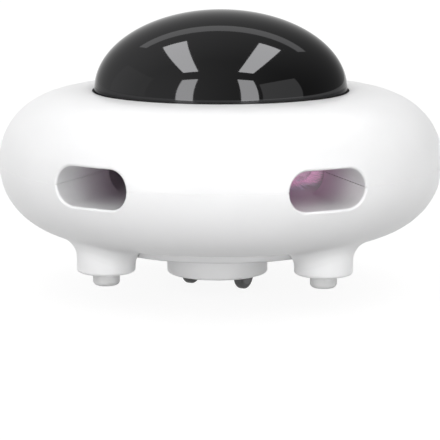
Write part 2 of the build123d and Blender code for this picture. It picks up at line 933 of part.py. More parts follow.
with BuildPart() as lower_bush:
    tube(bush_radius, bush_seat, bush_seat + bush_height)
    tube(shaft_radius + running_clearance, bush_seat, bush_seat + bush_height, mode=Mode.SUBTRACT)
save(lower_bush.part, "lower_bush")

with BuildPart() as upper_bush:
    tube(bush_radius, chamber_ceiling, upper_bush_top)
    tube(bush_flange_radius, chamber_ceiling + bush_height, upper_bush_top)
    tube(shaft_radius + running_clearance, chamber_ceiling, upper_bush_top, mode=Mode.SUBTRACT)
save(upper_bush.part, "upper_bush")

with BuildPart() as feather_stem:
    with BuildSketch(feather_plane(stem_start)) as stem_ring:
        Circle(stem_radius)
        Circle(stem_bore_radius, mode=Mode.SUBTRACT)
    extrude(stem_ring.sketch, amount=stem_end - stem_start)
save(feather_stem.part, "feather_stem")

plume_end = chamber_radius - plume_gap
plume_start = plume_end - plume_length
plume_half_height = window_half - plume_headroom
plume_shares = [
    (0.0, 0.16, 0.30),
    (0.30, 0.62, 0.78),
    (0.62, 1.0, 1.0),
    (0.86, 0.84, 0.86),
    (1.0, 0.42, 0.48),
]
with BuildPart() as feather_plume:
    slices = []
    for along_share, width_share, height_share in plume_shares:
        radius = plume_start + along_share * (plume_end - plume_start)
        with BuildSketch(feather_plane(radius)) as slice_outline:
            Ellipse(width_share * plume_half_width, height_share * plume_half_height)
        slices.append(slice_outline.sketch)
    loft(slices)
    with BuildSketch(feather_plane(plume_start - overrun)) as stem_hole:
        Circle(stem_radius)
    extrude(stem_hole.sketch, amount=stem_end - plume_start + overrun, mode=Mode.SUBTRACT)
save(feather_plume.part, "feather_plume")


def upright(point, height):
    """Give a level plane centred on a gear's axis at a height."""
    return Plane(origin=(point[0], point[1], height))


# Feather gear train: motor pinion, two stepped gears and the gear on the rotor's shaft
with BuildPart() as rotor_gear:
    gear(upright((0, 0), rotor_gear_bottom), rotor_gear_teeth, train_module, rotor_gear_face)
    tube(shaft_radius, rotor_gear_bottom, train_top, mode=Mode.SUBTRACT)
save(rotor_gear.part, "rotor_gear")

with BuildPart() as slow_gear:
    gear(
        upright(slow_point, rotor_gear_bottom), train_pinion_teeth, train_module,
        slow_gear_bottom - rotor_gear_bottom, slow_phase,
    )
    gear(
        upright(slow_point, slow_gear_bottom), train_gear_teeth, train_module, train_face,
        slow_phase,
    )
    round_bars([slow_point], train_hub_radius, deck + slip, rotor_gear_bottom)
    round_bars(
        [slow_point], train_pin_radius + running_clearance, deck, train_top, mode=Mode.SUBTRACT
    )
save(slow_gear.part, "slow_gear")

with BuildPart() as fast_gear:
    gear(
        upright(fast_point, slow_gear_bottom), train_pinion_teeth, train_module,
        fast_gear_bottom - slow_gear_bottom, fast_phase,
    )
    gear(
        upright(fast_point, fast_gear_bottom), train_gear_teeth, train_module, train_face,
        fast_phase,
    )
    round_bars([fast_point], train_hub_radius, deck + slip, slow_gear_bottom)
    round_bars(
        [fast_point], train_pin_radius + running_clearance, deck, train_top, mode=Mode.SUBTRACT
    )
save(fast_gear.part, "fast_gear")

with BuildPart() as feather_pinion:
    gear(
        upright(feather_motor_point, fast_gear_bottom), train_pinion_teeth, train_module,
        train_face + slip, train_pinion_phase,
    )
    round_bars(
        [feather_motor_point], feather_motor_shaft_radius, fast_gear_bottom - overrun,
        gearbox_top, mode=Mode.SUBTRACT,
    )
save(feather_pinion.part, "feather_pinion")

with BuildPart() as gear_pins:
    round_bars(
        [slow_point, fast_point], train_pin_radius, deck - train_pin_seat,
        gearbox_top - gearbox_wall,
    )
save(gear_pins.part, "gear_pins")

with BuildPart() as gearbox_cover:
    with BuildSketch(Plane.XY.offset(deck)) as box:
        with Locations(gearbox_centre):
            RectangleRounded(*gearbox_size, gearbox_corner)
    extrude(box.sketch, amount=gearbox_top - deck)
    round_bars(lug_points, gearbox_lug_radius, deck, deck + gearbox_lug_height)
    with BuildSketch(Plane.XY.offset(deck)) as space:
        with Locations(gearbox_centre):
            RectangleRounded(
                gearbox_size[0] - 2 * gearbox_wall,
                gearbox_size[1] - 2 * gearbox_wall,
                gearbox_corner - gearbox_wall,
            )
    extrude(space.sketch, amount=gearbox_top - gearbox_wall - deck, mode=Mode.SUBTRACT)
    round_bars(
        [feather_motor_point], feather_motor_collar_radius, deck, gearbox_top, mode=Mode.SUBTRACT
    )
    round_bars(
        lug_points, small_screw_radius, deck, deck + gearbox_lug_height, mode=Mode.SUBTRACT
    )
save(gearbox_cover.part, "gearbox_cover")

with BuildPart() as gearbox_screws:
    screws(lug_points, deck + gearbox_lug_height, small_screw_radius,
           gearbox_lug_height + train_pin_seat, small_head_radius, small_head_height,
           upwards=False)
save(gearbox_screws.part, "gearbox_screws")

with BuildPart() as feather_motor:
    with BuildSketch(Plane.XY.offset(gearbox_top)) as can_outline:
        with Locations(feather_motor_point):
            Circle(feather_motor_radius)
            Rectangle(
                2 * feather_motor_radius, 2 * feather_motor_flat, mode=Mode.INTERSECT
            )
    extrude(can_outline.sketch, amount=feather_motor_length)
    round_bars(
        [feather_motor_point], motor_end_radius, gearbox_top + feather_motor_length,
        gearbox_top + feather_motor_length + motor_end_height,
    )
    round_bars(
        [feather_motor_point], feather_motor_collar_radius,
        gearbox_top - feather_motor_collar_length, gearbox_top,
    )
    round_bars(
        [feather_motor_point], feather_motor_shaft_radius + running_clearance,
        gearbox_top - feather_motor_collar_length, gearbox_top + feather_motor_shaft_seat,
        mode=Mode.SUBTRACT,
    )
save(feather_motor.part, "feather_motor")

with BuildPart() as feather_motor_shaft:
    round_bars(
        [feather_motor_point], feather_motor_shaft_radius, fast_gear_bottom,
        gearbox_top + feather_motor_shaft_seat - slip,
    )
save(feather_motor_shaft.part, "feather_motor_shaft")

# Battery in its tray, on the chamber's roof
cell_centre_z = deck + tray_wall + cell_radius
tray_inner_length = cell_length + cell_tip_length + 2 * contact_thickness + tray_play

with BuildPart() as battery_cell:
    with BuildSketch(Plane.YZ.offset(-cell_length / 2)) as cell_outline:
        with Locations((cell_centre_y, cell_centre_z)):
            Circle(cell_radius)
    extrude(cell_outline.sketch, amount=cell_length)
    fillet(battery_cell.edges().filter_by(GeomType.CIRCLE), radius=contact_thickness)
    with BuildSketch(Plane.YZ.offset(cell_length / 2)) as cell_tip:
        with Locations((cell_centre_y, cell_centre_z)):
            Circle(cell_tip_radius)
    extrude(cell_tip.sketch, amount=cell_tip_length)
save(battery_cell.part, "battery_cell")

tray_centre_x = cell_tip_length / 2
with BuildPart() as battery_tray:
    with BuildSketch(Plane.XY.offset(deck)) as tray_outline:
        with Locations((tray_centre_x, cell_centre_y)):
            Rectangle(tray_inner_length + 2 * tray_wall, 2 * (cell_radius + tray_play + tray_wall))
    extrude(tray_outline.sketch, amount=tray_side_height + tray_wall)
    with BuildSketch(Plane.XY.offset(deck + tray_wall)) as tray_space:
        with Locations((tray_centre_x, cell_centre_y)):
            Rectangle(tray_inner_length, 2 * (cell_radius + tray_play))
    extrude(tray_space.sketch, amount=cell_radius * 2, mode=Mode.SUBTRACT)
save(battery_tray.part, "battery_tray")

with BuildPart() as battery_contacts:
    for side in (-1, 1):
        face_x = tray_centre_x + side * tray_inner_length / 2
        centre_x = face_x - side * contact_thickness / 2
        with BuildSketch(Plane.XY.offset(deck + tray_wall)) as contact:
            with Locations((centre_x, cell_centre_y)):
                Rectangle(contact_thickness, contact_width)
        extrude(contact.sketch, amount=contact_height)
save(battery_contacts.part, "battery_contacts")

# Turret: a cup on the collar, with a cap whose stud turns in the boss under the chamber
turret_x = (cos(radians(axle_heading)), sin(radians(axle_heading)), 0)
turret_top = cap_bottom
axle_height = wheel_radius
wheel_offset = wheel_track / 2
axle_half = wheel_offset + wheel_width / 2 + axle_overhang
frame_half = frame_inner_width / 2
ear_slot_half = frame_ear_radius + wheel_slot_gap
frame_bottom = turret_bottom + turret_wall
frame_top = frame_bottom + frame_height
cap_post_y = turret_radius - turret_wall - small_screw_radius - running_clearance


def across(offset):
    """Give the plane square to the axle, at an offset along it, with its y axis upwards."""
    x = turret_offset + offset * turret_x[0]
    y = offset * turret_x[1]
    return Plane(origin=(x, y, 0), x_dir=(-turret_x[1], turret_x[0], 0), z_dir=turret_x)


def level(height):
    """Give a level plane over the turret's centre, its x axis along the axle."""
    return Plane(origin=(turret_offset, 0, height), x_dir=turret_x, z_dir=(0, 0, 1))


def along_axle(start, end, centre, radius, mode=Mode.ADD):
    """Extrude a round bar along the axle's direction."""
    with BuildSketch(across(start)) as bar:
        with Locations(centre):
            Circle(radius)
    extrude(bar.sketch, amount=end - start, mode=mode)


def turret_block(size, centre, bottom, top, mode=Mode.ADD):
    """Extrude a rectangle that is square to the axle, between two heights."""
    with BuildSketch(level(bottom)) as block:
        with Locations(centre):
            Rectangle(*size)
    extrude(block.sketch, amount=top - bottom, mode=mode)


cap_post_points = [(0, -cap_post_y), (0, cap_post_y)]
slot_start = frame_half - wheel_slot_gap / 2
slot_end = wheel_offset + wheel_width / 2 + wheel_slot_gap
slot_length = 2 * (wheel_radius + wheel_slot_gap)
pinion_layer = -frame_half + drive_layer_gap
second_layer = pinion_layer + drive_face + drive_layer_gap
first_layer = second_layer + drive_face + drive_layer_gap
drive_tip = addendum_share * drive_module
axle_gear_tip = axle_gear_teeth * drive_module / 2 + drive_tip

with BuildPart() as cap_posts:
    with BuildSketch(level(frame_bottom)) as post_outline:
        with Locations(*cap_post_points):
            Circle(2 * small_screw_radius)
    extrude(post_outline.sketch, amount=turret_top - frame_bottom)
    round_bars(
        [turret_point], turret_radius - turret_wall / 2, frame_bottom, turret_top,
        mode=Mode.INTERSECT,
    )

with BuildPart() as turret_housing:
    round_bars([turret_point], turret_radius, turret_bottom, turret_top)
    fillet(turret_housing.edges().sort_by(Axis.Z)[0], radius=turret_edge_radius)
    round_bars([turret_point], turret_radius + turret_flange_width, flange_bottom, flange_top)
    round_bars(
        [turret_point], turret_radius - turret_wall, frame_bottom, turret_top, mode=Mode.SUBTRACT
    )
    add(cap_posts.part)
    with BuildSketch(level(turret_top - small_screw_length + turret_cap_height)) as pilot:
        with Locations(*cap_post_points):
            Circle(small_screw_radius)
    extrude(pilot.sketch, amount=small_screw_length, mode=Mode.SUBTRACT)
    for side in (-1, 1):
        turret_block(
            (slot_end - slot_start, slot_length), (side * (slot_start + slot_end) / 2, 0),
            turret_bottom - overrun, frame_bottom + overrun, mode=Mode.SUBTRACT,
        )
    turret_block(
        (2 * (axle_half + slip), 2 * (axle_radius + slip)), (0, 0),
        turret_bottom - overrun, axle_height + axle_radius + slip, mode=Mode.SUBTRACT,
    )
    gear_slot_end = pinion_layer + drive_face + drive_layer_gap / 2
    turret_block(
        (gear_slot_end + slot_start + overrun, 2 * (axle_gear_tip + wheel_slot_gap)),
        ((gear_slot_end - slot_start - overrun) / 2, 0),
        turret_bottom - overrun, frame_bottom + overrun, mode=Mode.SUBTRACT,
    )
save(turret_housing.part, "turret_housing")

with BuildPart() as turret_cap:
    round_bars([turret_point], turret_radius, cap_bottom, cap_top)
    round_bars([turret_point], turret_stud_radius, cap_top, boss_bottom + turret_stud_height)
    with BuildSketch(level(cap_bottom)) as cap_holes:
        with Locations(*cap_post_points):
            Circle(small_screw_radius)
    extrude(cap_holes.sketch, amount=turret_cap_height, mode=Mode.SUBTRACT)
    with BuildSketch(level(cap_top - small_head_height / 2)) as head_wells:
        with Locations(*cap_post_points):
            Circle(small_head_radius + running_clearance)
    extrude(head_wells.sketch, amount=small_head_height, mode=Mode.SUBTRACT)
save(turret_cap.part, "turret_cap")

cap_screw_points = [
    stepped(turret_point, offset, axle_heading + 90) for offset in (-cap_post_y, cap_post_y)
]
with BuildPart() as cap_screws:
    screws(
        cap_screw_points, cap_top - small_head_height / 2, small_screw_radius,
        small_screw_length - turret_cap_height, small_head_radius, small_head_height / 2,
        upwards=False,
    )
save(cap_screws.part, "cap_screws")

# Drive gears: places across the axle, as (sideways, height) pairs
axle_centre = (0, axle_height)
idler_centre = stepped(
    axle_centre, centre_distance(axle_gear_teeth, idler_teeth, drive_module), 90
)
second_centre = stepped(
    idler_centre, centre_distance(idler_teeth, drive_pinion_teeth, drive_module), 90
)
first_centre = stepped(
    second_centre,
    centre_distance(second_gear_teeth, drive_pinion_teeth, drive_module),
    second_to_first_angle,
)
drive_motor_centre = stepped(
    first_centre,
    centre_distance(first_gear_teeth, drive_pinion_teeth, drive_module),
    first_to_motor_angle,
)
axle_phase = 90.0
idler_phase = meshed_phase(axle_gear_teeth, axle_phase, idler_teeth, 90)
second_phase = meshed_phase(idler_teeth, idler_phase, drive_pinion_teeth, 90)
first_phase = meshed_phase(
    second_gear_teeth, second_phase, drive_pinion_teeth, second_to_first_angle
)
drive_pinion_phase = meshed_phase(
    first_gear_teeth, first_phase, drive_pinion_teeth, first_to_motor_angle
)


def gear_plane(centre, offset):
    """Give the plane of a drive gear's face, on its own axis."""
    plane = across(offset)
    return Plane(
        origin=plane.from_local_coords((centre[0], centre[1], 0)),
        x_dir=plane.x_dir,
        z_dir=plane.z_dir,
    )


with BuildPart() as axle_gear:
    gear(gear_plane(axle_centre, pinion_layer), axle_gear_teeth, drive_module, drive_face,
         axle_phase)
    along_axle(-frame_half, frame_half, axle_centre, axle_radius, mode=Mode.SUBTRACT)
save(axle_gear.part, "axle_gear")

with BuildPart() as idler_gear:
    gear(gear_plane(idler_centre, pinion_layer), idler_teeth, drive_module, drive_face,
         idler_phase)
    along_axle(
        -frame_half, frame_half, idler_centre, drive_pin_radius + running_clearance,
        mode=Mode.SUBTRACT,
    )
save(idler_gear.part, "idler_gear")

with BuildPart() as second_gear:
    gear(
        gear_plane(second_centre, pinion_layer), drive_pinion_teeth, drive_module,
        second_layer - pinion_layer, second_phase,
    )
    gear(gear_plane(second_centre, second_layer), second_gear_teeth, drive_module, drive_face,
         second_phase)
    along_axle(
        -frame_half, frame_half, second_centre, drive_pin_radius + running_clearance,
        mode=Mode.SUBTRACT,
    )
save(second_gear.part, "second_gear")

with BuildPart() as first_gear:
    gear(
        gear_plane(first_centre, second_layer), drive_pinion_teeth, drive_module,
        first_layer - second_layer, first_phase,
    )
    gear(gear_plane(first_centre, first_layer), first_gear_teeth, drive_module, drive_face,
         first_phase)
    along_axle(slip - frame_half, second_layer, first_centre, drive_hub_radius)
    along_axle(first_layer + drive_face, frame_half - slip, first_centre, drive_hub_radius)
    along_axle(
        -frame_half, frame_half, first_centre, drive_pin_radius + running_clearance,
        mode=Mode.SUBTRACT,
    )
save(first_gear.part, "first_gear")

with BuildPart() as drive_pinion:
    gear(gear_plane(drive_motor_centre, first_layer), drive_pinion_teeth, drive_module,
         drive_face + slip, drive_pinion_phase)
    along_axle(
        first_layer - overrun, frame_half, drive_motor_centre, drive_motor_shaft_radius,
        mode=Mode.SUBTRACT,
    )
save(drive_pinion.part, "drive_pinion")

motor_face = first_layer - drive_layer_gap / 2
motor_back = motor_face - drive_motor_length
with BuildPart() as drive_motor:
    with BuildSketch(across(motor_back)) as motor_outline:
        with Locations(drive_motor_centre):
            RectangleRounded(drive_motor_width, drive_motor_height, drive_motor_edge)
    extrude(motor_outline.sketch, amount=drive_motor_length)
    along_axle(
        motor_back - drive_motor_collar_length, motor_back, drive_motor_centre,
        drive_motor_collar_radius,
    )
    along_axle(
        motor_face - drive_motor_shaft_seat, motor_face, drive_motor_centre,
        drive_motor_shaft_radius + running_clearance, mode=Mode.SUBTRACT,
    )
save(drive_motor.part, "drive_motor")

with BuildPart() as drive_motor_shaft:
    along_axle(
        motor_face - drive_motor_shaft_seat + slip, first_layer + drive_face + slip,
        drive_motor_centre, drive_motor_shaft_radius,
    )
save(drive_motor_shaft.part, "drive_motor_shaft")

# Drive frame: two plates and a back web that carry the axle, the gear pins and the motor
plate_outer = frame_half + frame_plate
with BuildPart() as drive_frame:
    for start in (-plate_outer, frame_half):
        turret_block(
            (frame_plate, frame_front + frame_back),
            (start + frame_plate / 2, (frame_back - frame_front) / 2), frame_bottom, frame_top,
        )
        turret_block(
            (frame_plate, 2 * frame_ear_radius), (start + frame_plate / 2, 0), axle_height,
            frame_bottom,
        )
        along_axle(start, start + frame_plate, axle_centre, frame_ear_radius)
    turret_block(
        (2 * plate_outer, frame_plate), (0, frame_back - frame_plate / 2), frame_bottom, frame_top
    )
    along_axle(
        -plate_outer - overrun, plate_outer + overrun, axle_centre,
        axle_radius + running_clearance, mode=Mode.SUBTRACT,
    )
    for pin_centre in (second_centre, first_centre):
        along_axle(
            -plate_outer - overrun, plate_outer + overrun, pin_centre, drive_pin_radius,
            mode=Mode.SUBTRACT,
        )
    along_axle(-plate_outer - overrun, 0, idler_centre, drive_pin_radius, mode=Mode.SUBTRACT)
    with BuildSketch(across(-plate_outer - overrun)) as motor_seat:
        with Locations(drive_motor_centre):
            RectangleRounded(drive_motor_width, drive_motor_height, drive_motor_edge)
    extrude(motor_seat.sketch, amount=frame_plate + 2 * overrun, mode=Mode.SUBTRACT)
save(drive_frame.part, "drive_frame")

with BuildPart() as drive_pins:
    for pin_centre in (second_centre, first_centre):
        along_axle(-plate_outer, plate_outer, pin_centre, drive_pin_radius)
    along_axle(-plate_outer, pinion_layer + drive_face + slip, idler_centre, drive_pin_radius)
save(drive_pins.part, "drive_pins")

# Axle, wheel hubs and rubber tyres
with BuildPart() as drive_axle:
    along_axle(-axle_half, axle_half, axle_centre, axle_radius)
save(drive_axle.part, "drive_axle")

for side_name, side in (("left", -1), ("right", 1)):
    inner = wheel_offset - wheel_width / 2
    outer = wheel_offset + wheel_width / 2
    low, high = sorted((side * inner, side * outer))
    boss_low, boss_high = sorted((side * (plate_outer + slip), side * inner))
    with BuildPart() as wheel_hub:
        along_axle(low, high, axle_centre, wheel_hub_radius)
        along_axle(boss_low, boss_high, axle_centre, wheel_boss_radius)
        along_axle(-axle_half, axle_half, axle_centre, axle_radius, mode=Mode.SUBTRACT)
    save(wheel_hub.part, f"{side_name}_wheel_hub")
    with BuildPart() as tyre:
        along_axle(low, high, axle_centre, wheel_radius)
        fillet(tyre.edges().filter_by(GeomType.CIRCLE), radius=tyre_edge_radius)
        along_axle(low, high, axle_centre, wheel_hub_radius, mode=Mode.SUBTRACT)
    save(tyre.part, f"{side_name}_tyre")
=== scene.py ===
# %% [markdown]
# A round electric cat toy. Its body is a white ring of two shells, with slots all round that show
# a feather turning inside. A black dome closes the top, and two small wheels under the body drive
# it over the floor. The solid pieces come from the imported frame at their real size. This script
# gives them their finishes, and models what a solid is too plain for: the polished dome and the
# feather's soft plume.

# %% Load the frame
import json
import random
from math import cos, pi, radians, sin

import bpy
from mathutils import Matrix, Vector


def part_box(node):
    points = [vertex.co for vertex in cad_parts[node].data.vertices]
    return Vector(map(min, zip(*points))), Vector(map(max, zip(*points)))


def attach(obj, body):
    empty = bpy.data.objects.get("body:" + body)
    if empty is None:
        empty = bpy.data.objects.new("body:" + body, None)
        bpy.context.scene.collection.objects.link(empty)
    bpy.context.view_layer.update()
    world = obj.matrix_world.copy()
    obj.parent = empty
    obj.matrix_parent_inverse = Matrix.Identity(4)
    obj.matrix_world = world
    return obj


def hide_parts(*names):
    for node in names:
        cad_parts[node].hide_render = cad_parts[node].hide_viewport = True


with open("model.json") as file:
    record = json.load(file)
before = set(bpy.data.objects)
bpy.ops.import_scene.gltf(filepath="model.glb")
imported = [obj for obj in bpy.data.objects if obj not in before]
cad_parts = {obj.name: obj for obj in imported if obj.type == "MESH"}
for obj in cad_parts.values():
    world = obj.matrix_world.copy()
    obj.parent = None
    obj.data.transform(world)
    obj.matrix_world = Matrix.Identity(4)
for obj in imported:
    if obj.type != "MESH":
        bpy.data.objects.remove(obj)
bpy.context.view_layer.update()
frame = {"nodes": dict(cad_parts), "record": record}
nodes = frame["nodes"]

# %% [markdown]
# The camera stands in front of the toy, a little to its right, and looks slightly down on it. Its
# place was fitted to the rim, the slots and the legs: about nine body radii away, which keeps the
# ring's outline nearly free of perspective. Sizes here are shares of the body's own radius, so
# the view follows the solid.

# %% Measure the body and place the camera
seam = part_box("lower_shell")[1].z
body_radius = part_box("lower_shell")[1].y
camera_distance = 8.9144 * body_radius
camera_height = seam + 1.3197 * body_radius
camera_slide = 0.0036 * body_radius
camera_azimuth = radians(3.3)
camera_pitch = radians(10.18)
sensor_width = 36.0
focal_pixels = 1984.0
image_pixels = 440.0

camera_data = bpy.data.cameras.new("camera")
camera_data.sensor_width = sensor_width
camera_data.lens = focal_pixels * sensor_width / image_pixels
camera = bpy.data.objects.new("camera", camera_data)
bpy.context.scene.collection.objects.link(camera)
camera.location = (
    camera_distance * sin(camera_azimuth) - camera_slide * cos(camera_azimuth),
    -camera_distance * cos(camera_azimuth) - camera_slide * sin(camera_azimuth),
    camera_height,
)
camera.rotation_euler = (pi / 2 - camera_pitch, 0, camera_azimuth)
bpy.context.scene.camera = camera
bpy.context.scene.view_settings.view_transform = "Standard"
print("camera:", tuple(round(v, 3) for v in camera.location))

# %% [markdown]
# The background is a white sweep, so the world is white to the camera. To the white shells it is
# an even light from all round. To polished pieces it is a dim room, brighter on the left and
# behind. Light Path tells these rays apart.

# %% Fill the world with studio light
ambient_glow = 0.86
room_glow_left = 0.72
room_glow_right = 0.17
room_back_share = 1.75
room_back_start = -0.2

world = bpy.data.worlds.new("studio")
bpy.context.scene.world = world
world.use_nodes = True
tree = world.node_tree
tree.nodes.clear()
output = tree.nodes.new("ShaderNodeOutputWorld")
path = tree.nodes.new("ShaderNodeLightPath")
direction = tree.nodes.new("ShaderNodeTexCoord")
split = tree.nodes.new("ShaderNodeSeparateXYZ")
tree.links.new(direction.outputs["Generated"], split.inputs[0])
across = tree.nodes.new("ShaderNodeMapRange")
across.inputs["From Min"].default_value = -1
across.inputs["From Max"].default_value = 1
across.inputs["To Min"].default_value = room_glow_left
across.inputs["To Max"].default_value = room_glow_right
tree.links.new(split.outputs["X"], across.inputs["Value"])
behind = tree.nodes.new("ShaderNodeMapRange")
behind.inputs["From Min"].default_value = room_back_start
behind.inputs["From Max"].default_value = 1
behind.inputs["To Min"].default_value = 1
behind.inputs["To Max"].default_value = room_back_share
tree.links.new(split.outputs["Y"], behind.inputs["Value"])
room_strength = tree.nodes.new("ShaderNodeMath")
room_strength.operation = "MULTIPLY"
tree.links.new(across.outputs["Result"], room_strength.inputs[0])
tree.links.new(behind.outputs["Result"], room_strength.inputs[1])


def background(strength):
    """Add one background light and give its node."""
    node = tree.nodes.new("ShaderNodeBackground")
    node.inputs["Color"].default_value = (1, 1, 1, 1)
    node.inputs["Strength"].default_value = strength
    return node


def pick(factor, first, second):
    """Choose between two lights by a ray's kind, and give the choice."""
    node = tree.nodes.new("ShaderNodeMixShader")
    tree.links.new(factor, node.inputs[0])
    tree.links.new(first, node.inputs[1])
    tree.links.new(second, node.inputs[2])
    return node.outputs[0]


ambient = background(ambient_glow)
white = background(1.0)
room = background(1.0)
tree.links.new(room_strength.outputs[0], room.inputs["Strength"])
chosen = pick(path.outputs["Is Glossy Ray"], ambient.outputs[0], room.outputs[0])
chosen = pick(path.outputs["Is Transmission Ray"], chosen, white.outputs[0])
chosen = pick(path.outputs["Is Camera Ray"], chosen, white.outputs[0])
tree.links.new(chosen, output.inputs["Surface"])
print("ambient light:", ambient_glow)

# %% [markdown]
# Four softboxes hang round the toy: a long one overhead on each side, and two upright ones in
# front. The dome mirrors all four, so their corners were worked out from the patches that such
# light leaves on it. The overhead pair's offset and size are shares of its height. Polished black
# gives back only a twenty-fifth of what it mirrors, so what it sees is bright, while what the
# white shells get is mild. So a panel can be two lamps, one just in front of the other: one throws
# light, and the nearer one is only seen in mirrors. A low strip in front lifts the underside, a
# large card stands on each side, and a narrow strip behind draws the soft arc over the dome's top.
# No panel shows to the camera itself, so none hides the toy when it is looked at from the back.

# %% Hang the softboxes
dome_middle = Vector((0, 0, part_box("dome")[0].z))
overhead_height = 0.9
overhead_offset = 0.43
overhead_size = (0.26, 1.03)
overhead_centre_y = -0.105
overhead_light = 0.95
overhead_mirror = 7.9
front_offset = 0.56
front_size = (0.36, 1.0)
front_height = 0.46
front_mirror = 5.9
low_size = (1.6, 0.22)
low_place = (0, -1.3, 0.12)
low_light = 7.2
left_card_size = (1.0, 0.8)
left_card_place = (-1.2, 0, 0.5)
left_card_light = 0.3
left_card_mirror = 0.1
arc_size = (2.0, 0.24)
arc_place = (0, 1.0, 1.3)
arc_mirror = 1.4
right_card_size = (0.8, 0.7)
right_card_place = (0.95, -0.55, 0.4)
right_card_light = 0.25
right_card_mirror = 0.7
mirror_gap = 0.002


def softbox(name, location, size, facing, light, mirror):
    """Hang one panel as the lamp that throws its light and the lamp that mirrors show."""
    aim = Vector(facing).normalized()
    for glow, throws in ((light, True), (mirror, False)):
        if glow:
            lamp = bpy.data.lights.new(name, "AREA")
            lamp.shape = "RECTANGLE"
            lamp.size, lamp.size_y = size
            lamp.energy = glow * pi * size[0] * size[1]
            hung = bpy.data.objects.new(name, lamp)
            bpy.context.scene.collection.objects.link(hung)
            hung.location = Vector(location) + (Vector() if throws else aim * mirror_gap)
            hung.rotation_euler = aim.to_track_quat("-Z", "Y").to_euler()
            hung.visible_diffuse = throws
            hung.visible_glossy = not throws
            hung.visible_camera = False
            hung.visible_transmission = False


for side in (-1, 1):
    over = Vector((side * overhead_offset, overhead_centre_y, 1)) * overhead_height
    softbox(
        "overhead_softbox",
        dome_middle + over,
        (overhead_size[0] * overhead_height, overhead_size[1] * overhead_height),
        (0, 0, -1),
        overhead_light,
        overhead_mirror,
    )
    softbox(
        "front_softbox",
        dome_middle + Vector((side * front_offset, -1, front_height)),
        front_size,
        (0, 1, 0),
        0,
        front_mirror,
    )
softbox("low_strip", low_place, low_size, (0, 1, 0), low_light, 0)
softbox(
    "left_card", left_card_place, left_card_size, (1, 0, 0), left_card_light, left_card_mirror
)
softbox("arc_strip", arc_place, arc_size, (0, -1, -1.2), 0, arc_mirror)
softbox(
    "right_card",
    right_card_place,
    right_card_size,
    (-1, 0.5, 0),
    right_card_light,
    right_card_mirror,
)
print("lamps:", len(bpy.data.lights))

# %% [markdown]
# The floor is a wide pale sheet. It is nearly white to the camera, so that it joins the white
# background, and it keeps the toy's soft shadow because part of its light is reflected. To the
# light that bounces off it on to the toy, it is a mid grey.

# %% Lay the floor
floor_half = 6.0
floor_bounce = 0.28
floor_shade = 0.16
floor_lift = 0.9

bpy.ops.object.select_all(action="DESELECT")
bpy.ops.mesh.primitive_plane_add(size=2 * floor_half, location=(0, 0, 0))
floor = bpy.context.object
floor.name = "floor"
floor_material = bpy.data.materials.new("floor_sheet")
floor_material.use_nodes = True
tree = floor_material.node_tree
shader = tree.nodes["Principled BSDF"]
shader.inputs["Roughness"].default_value = 0.9
shader.inputs["Specular IOR Level"].default_value = 0.0
path = tree.nodes.new("ShaderNodeLightPath")
shown = path.outputs["Is Camera Ray"]
for kind in ("Is Glossy Ray", "Is Transmission Ray"):
    either = tree.nodes.new("ShaderNodeMath")
    either.operation = "MAXIMUM"
    tree.links.new(shown, either.inputs[0])
    tree.links.new(path.outputs[kind], either.inputs[1])
    shown = either.outputs[0]
tint = tree.nodes.new("ShaderNodeMix")
tint.data_type = "RGBA"
tint.inputs[6].default_value = (floor_bounce, floor_bounce, floor_bounce, 1)
tint.inputs[7].default_value = (floor_shade, floor_shade, floor_shade, 1)
tree.links.new(shown, tint.inputs[0])
tree.links.new(tint.outputs[2], shader.inputs["Base Color"])
lift = tree.nodes.new("ShaderNodeMath")
lift.operation = "MULTIPLY"
lift.inputs[1].default_value = floor_lift
tree.links.new(shown, lift.inputs[0])
shader.inputs["Emission Color"].default_value = (1, 1, 1, 1)
tree.links.new(lift.outputs[0], shader.inputs["Emission Strength"])
floor.data.materials.append(floor_material)
print("floor:", 2 * floor_half, "metres wide")

# %% [markdown]
# Every finish starts from the same few nodes: a noise on Object coordinates that changes the
# colour and the roughness a little, and a finer one that gives the surface its grain. What
# differs from finish to finish is how strong each is, and its size.

# %% Define a helper for procedural finishes
def mixed(base, other, share):
    """Give a colour between two, by a share of the other."""
    return tuple(a + (b - a) * share for a, b in zip(base, other))


def noise(tree, scale, detail=3.0, stretch=(1, 1, 1)):
    """Add a noise on Object coordinates; the scale is in cells per metre."""
    coordinates = tree.nodes.new("ShaderNodeTexCoord")
    mapping = tree.nodes.new("ShaderNodeMapping")
    mapping.inputs["Scale"].default_value = stretch
    texture = tree.nodes.new("ShaderNodeTexNoise")
    texture.inputs["Scale"].default_value = scale
    texture.inputs["Detail"].default_value = detail
    tree.links.new(coordinates.outputs["Object"], mapping.inputs["Vector"])
    tree.links.new(mapping.outputs["Vector"], texture.inputs["Vector"])
    return texture.outputs["Fac"]


def ramp(tree, factor, low, high, start=0.35, end=0.65):
    """Turn a factor into a value between low and high."""
    node = tree.nodes.new("ShaderNodeMapRange")
    node.inputs["From Min"].default_value = start
    node.inputs["From Max"].default_value = end
    node.inputs["To Min"].default_value = low
    node.inputs["To Max"].default_value = high
    tree.links.new(factor, node.inputs["Value"])
    return node.outputs["Result"]


def blend_colours(tree, factor, first, second):
    """Mix two colours, or linked colours, by a factor."""
    node = tree.nodes.new("ShaderNodeMix")
    node.data_type = "RGBA"
    tree.links.new(factor, node.inputs[0])
    for socket, colour in ((node.inputs[6], first), (node.inputs[7], second)):
        if isinstance(colour, tuple):
            socket.default_value = (*colour, 1)
        else:
            tree.links.new(colour, socket)
    return node.outputs[2]


finishes = {}
grain_height = 0.0002


